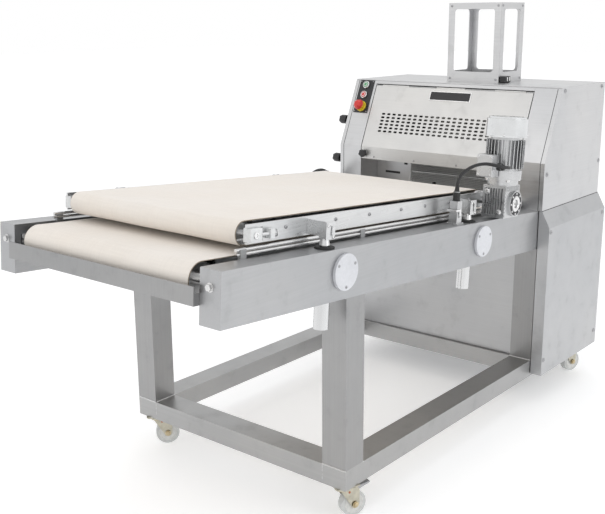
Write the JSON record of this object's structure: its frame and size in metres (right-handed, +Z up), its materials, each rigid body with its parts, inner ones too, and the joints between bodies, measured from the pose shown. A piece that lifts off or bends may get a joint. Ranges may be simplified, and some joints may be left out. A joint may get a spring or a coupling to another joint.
{
  "type": "dough moulder",
  "caption": "Castered bakery dough moulder: a sloping canvas belt table, a height-adjustable driven upper belt, and a sheeting head with a guard and an infeed tower.",
  "frame": {"origin": "on the floor, under the centre of the machine's length and width", "axes": "+Z up; Y along the machine, with the outfeed end towards -Y and the sheeting head towards +Y; +X is the side that carries the upper belt's gearmotor"},
  "size_m": [0.9709, 2.0215, 1.391],
  "materials": {
    "stainless": "brushed stainless sheet and tube",
    "stainless_dark": "duller stainless of inner parts",
    "steel_bright": "turned steel shafts and rollers",
    "belt_canvas": "woven cream belt, lightly floured",
    "roller_white": "white food-grade roller surface",
    "disc_white": "satin white covers",
    "black_plastic": "matte black plastic",
    "zinc": "yellow zinc plated pressings",
    "tyre_grey": "light grey elastic tyre",
    "dark_steel": "dark oiled steel",
    "motor_alu": "cast aluminium, fine sand texture",
    "cable_black": "black flexible cable",
    "button_green": "green push button",
    "button_red": "red push button",
    "drive_blue": "painted gearmotor inside the head",
    "mesh_steel": "woven wire mat"
  },
  "bodies": {
    "machine": {"side_rails": "stainless", "cross_rails": "stainless", "legs": "stainless", "caster_plates": "zinc", "beam_right": "stainless", "beam_left": "stainless", "nose_plate": "stainless", "take_ups": "steel_bright", "slider_bed": "stainless_dark", "lower_belt": "belt_canvas", "lift_chain": "dark_steel", "post_sleeves": "steel_bright", "bearing_covers": "disc_white", "connector": "motor_alu", "head_shell": "stainless", "lower_covers": "stainless", "control_plate": "black_plastic", "roller_frame": "stainless_dark", "head_drive": "drive_blue", "curling_mat": "mesh_steel", "tower": "stainless"},
    "upper_conveyor": {"rack_posts": "steel_bright", "upper_frame": "stainless", "upper_belt": "belt_canvas", "tensioners": "steel_bright", "lift_brackets": "steel_bright", "gearbox": "motor_alu", "motor_body": "motor_alu", "fan_cowl": "motor_alu", "terminal_box": "motor_alu", "motor_cable": "cable_black"},
    "front_drum": {"front_drum": "steel_bright"},
    "drive_drum": {"drive_drum": "steel_bright"},
    "handwheel": {"handwheel": "black_plastic"},
    "cross_shaft_front": {"cross_shaft_front": "steel_bright"},
    "cross_shaft_rear": {"cross_shaft_rear": "steel_bright"},
    "nose_roller": {"nose_roller": "steel_bright"},
    "upper_drive_roller": {"upper_drive_roller": "steel_bright"},
    "motor_fan": {"motor_fan": "dark_steel"},
    "connector_lever": {"connector_lever": "motor_alu"},
    "guard": {"guard": "stainless"},
    "guard_knob": {"guard_knob": "black_plastic"},
    "start_button": {"start_button": "button_green"},
    "stop_button": {"stop_button": "button_red"},
    "estop_head": {"estop_head": "button_red"},
    "panel_knob_upper": {"panel_knob_upper": "black_plastic"},
    "panel_knob_lower": {"panel_knob_lower": "black_plastic"},
    "roller_a": {"roller_a": "roller_white"},
    "roller_b": {"roller_b": "roller_white"},
    "roller_c": {"roller_c": "roller_white"},
    "caster_front_right": {"fork_front_right": "zinc"},
    "wheel_front_right": {"wheel_front_right": "tyre_grey"},
    "brake_pedal_front": {"brake_pedal_front": "dark_steel"},
    "caster_front_left": {"fork_front_left": "zinc"},
    "wheel_front_left": {"wheel_front_left": "tyre_grey"},
    "caster_rear_right": {"fork_rear_right": "zinc"},
    "wheel_rear_right": {"wheel_rear_right": "tyre_grey"},
    "brake_pedal_rear": {"brake_pedal_rear": "dark_steel"},
    "caster_rear_left": {"fork_rear_left": "zinc"},
    "wheel_rear_left": {"wheel_rear_left": "tyre_grey"}
  },
  "joints": [
    {"name": "upper_conveyor_lift", "type": "slide", "parent": "machine", "child": "upper_conveyor", "axis": [0, 0.075, 0.9972], "range_m": [0, 0.036]},
    {"name": "handwheel_turn", "type": "hinge", "parent": "machine", "child": "handwheel", "pos_m": [-0.4, 0.42177, 0.67992], "axis": [1, 0, 0], "range_deg": [-69.5, 0]},
    {"name": "cross_shaft_front_turn", "type": "hinge", "parent": "machine", "child": "cross_shaft_front", "pos_m": [0, -0.54883, 0.72181], "axis": [1, 0, 0], "range_deg": [-69.5, 0]},
    {"name": "cross_shaft_rear_turn", "type": "hinge", "parent": "machine", "child": "cross_shaft_rear", "pos_m": [0, 0.15818, 0.66865], "axis": [1, 0, 0], "range_deg": [-69.5, 0]},
    {"name": "drive_drum_spin", "type": "hinge", "parent": "machine", "child": "drive_drum", "pos_m": [0, 0.86367, 0.63546], "axis": [1, 0, 0], "continuous": true},
    {"name": "front_drum_spin", "type": "hinge", "parent": "machine", "child": "front_drum", "pos_m": [0, -0.94622, 0.77154], "axis": [1, 0, 0], "continuous": true},
    {"name": "upper_drive_roller_spin", "type": "hinge", "parent": "upper_conveyor", "child": "upper_drive_roller", "pos_m": [0, 0.29215, 0.76989], "axis": [1, 0, 0], "continuous": true},
    {"name": "nose_roller_spin", "type": "hinge", "parent": "upper_conveyor", "child": "nose_roller", "pos_m": [0, -0.80276, 0.85221], "axis": [1, 0, 0], "continuous": true},
    {"name": "motor_fan_spin", "type": "hinge", "parent": "upper_conveyor", "child": "motor_fan", "pos_m": [0.416, 0.28345, 0.92096], "axis": [0, 0.075, 0.9972], "continuous": true},
    {"name": "connector_lever_swing", "type": "hinge", "parent": "machine", "child": "connector_lever", "pos_m": [0.384, 0.04589, 0.76233], "axis": [1, 0, 0], "range_deg": [0, 50]},
    {"name": "guard_swing", "type": "hinge", "parent": "machine", "child": "guard", "pos_m": [0, 0.64341, 1.08753], "axis": [-1, 0, 0], "range_deg": [0, 100]},
    {"name": "guard_knob_turn", "type": "hinge", "parent": "guard", "child": "guard_knob", "pos_m": [-0.314, 0.543, 0.838], "axis": [0, -1, 0], "range_deg": [0, 90]},
    {"name": "start_press", "type": "slide", "parent": "machine", "child": "start_button", "axis": [0, 0.9178, -0.3971], "range_m": [0, 0.003], "stiffness_N_per_m": 600, "springref_m": -0.001},
    {"name": "stop_press", "type": "slide", "parent": "machine", "child": "stop_button", "axis": [0, 0.9178, -0.3971], "range_m": [0, 0.003], "stiffness_N_per_m": 600, "springref_m": -0.001},
    {"name": "estop_press", "type": "slide", "parent": "machine", "child": "estop_head", "axis": [0, 0.9178, -0.3971], "range_m": [0, 0.004]},
    {"name": "panel_knob_upper_turn", "type": "hinge", "parent": "machine", "child": "panel_knob_upper", "pos_m": [-0.43, 0.606, 0.952], "axis": [1, 0, 0], "range_deg": [-150, 150]},
    {"name": "panel_knob_lower_turn", "type": "hinge", "parent": "machine", "child": "panel_knob_lower", "pos_m": [-0.43, 0.564, 0.806], "axis": [1, 0, 0], "range_deg": [-150, 150]},
    {"name": "roller_b_spin", "type": "hinge", "parent": "machine", "child": "roller_b", "pos_m": [0.03, 0.852, 0.945], "axis": [1, 0, 0], "continuous": true},
    {"name": "roller_a_spin", "type": "hinge", "parent": "machine", "child": "roller_a", "pos_m": [0.03, 0.76886, 0.993], "axis": [1, 0, 0], "continuous": true},
    {"name": "roller_c_spin", "type": "hinge", "parent": "machine", "child": "roller_c", "pos_m": [0.03, 0.78412, 0.87712], "axis": [1, 0, 0], "continuous": true},
    {"name": "swivel_front_right", "type": "hinge", "parent": "machine", "child": "caster_front_right", "pos_m": [0.377, -0.5, 0.095], "axis": [0, 0, 1], "continuous": true},
    {"name": "wheel_spin_front_right", "type": "hinge", "parent": "caster_front_right", "child": "wheel_front_right", "pos_m": [0.38872, -0.47238, 0.0375], "axis": [0.9205, -0.3907, 0], "continuous": true},
    {"name": "brake_front", "type": "hinge", "parent": "caster_front_right", "child": "brake_pedal_front", "pos_m": [0.39107, -0.46686, 0.082], "axis": [-0.9205, 0.3907, 0], "range_deg": [0, 12]},
    {"name": "swivel_front_left", "type": "hinge", "parent": "machine", "child": "caster_front_left", "pos_m": [-0.377, -0.5, 0.095], "axis": [0, 0, 1], "continuous": true},
    {"name": "wheel_spin_front_left", "type": "hinge", "parent": "caster_front_left", "child": "wheel_front_left", "pos_m": [-0.35772, -0.47702, 0.0375], "axis": [0.766, -0.6428, 0], "continuous": true},
    {"name": "swivel_rear_right", "type": "hinge", "parent": "machine", "child": "caster_rear_right", "pos_m": [0.377, 0.923, 0.095], "axis": [0, 0, 1], "continuous": true},
    {"name": "wheel_spin_rear_right", "type": "hinge", "parent": "caster_rear_right", "child": "wheel_rear_right", "pos_m": [0.38726, 0.95119, 0.0375], "axis": [0.9397, -0.342, 0], "continuous": true},
    {"name": "brake_rear", "type": "hinge", "parent": "caster_rear_right", "child": "brake_pedal_rear", "pos_m": [0.38931, 0.95683, 0.082], "axis": [-0.9397, 0.342, 0], "range_deg": [0, 12]},
    {"name": "swivel_rear_left", "type": "hinge", "parent": "machine", "child": "caster_rear_left", "pos_m": [-0.377, 0.923, 0.095], "axis": [0, 0, 1], "continuous": true},
    {"name": "wheel_spin_rear_left", "type": "hinge", "parent": "caster_rear_left", "child": "wheel_rear_left", "pos_m": [-0.35979, 0.94757, 0.0375], "axis": [0.8192, -0.5736, 0], "continuous": true}
  ],
  "couplings": [
    {"joint": "handwheel_turn", "follows": "upper_conveyor_lift", "rad_per_m": -33.333},
    {"joint": "cross_shaft_front_turn", "follows": "upper_conveyor_lift", "rad_per_m": -33.333},
    {"joint": "cross_shaft_rear_turn", "follows": "upper_conveyor_lift", "rad_per_m": -33.333},
    {"joint": "front_drum_spin", "follows": "drive_drum_spin", "ratio": 1},
    {"joint": "nose_roller_spin", "follows": "upper_drive_roller_spin", "ratio": 1},
    {"joint": "motor_fan_spin", "follows": "upper_drive_roller_spin", "ratio": 10},
    {"joint": "roller_a_spin", "follows": "roller_b_spin", "ratio": -1},
    {"joint": "roller_c_spin", "follows": "roller_b_spin", "ratio": -1}
  ]
}
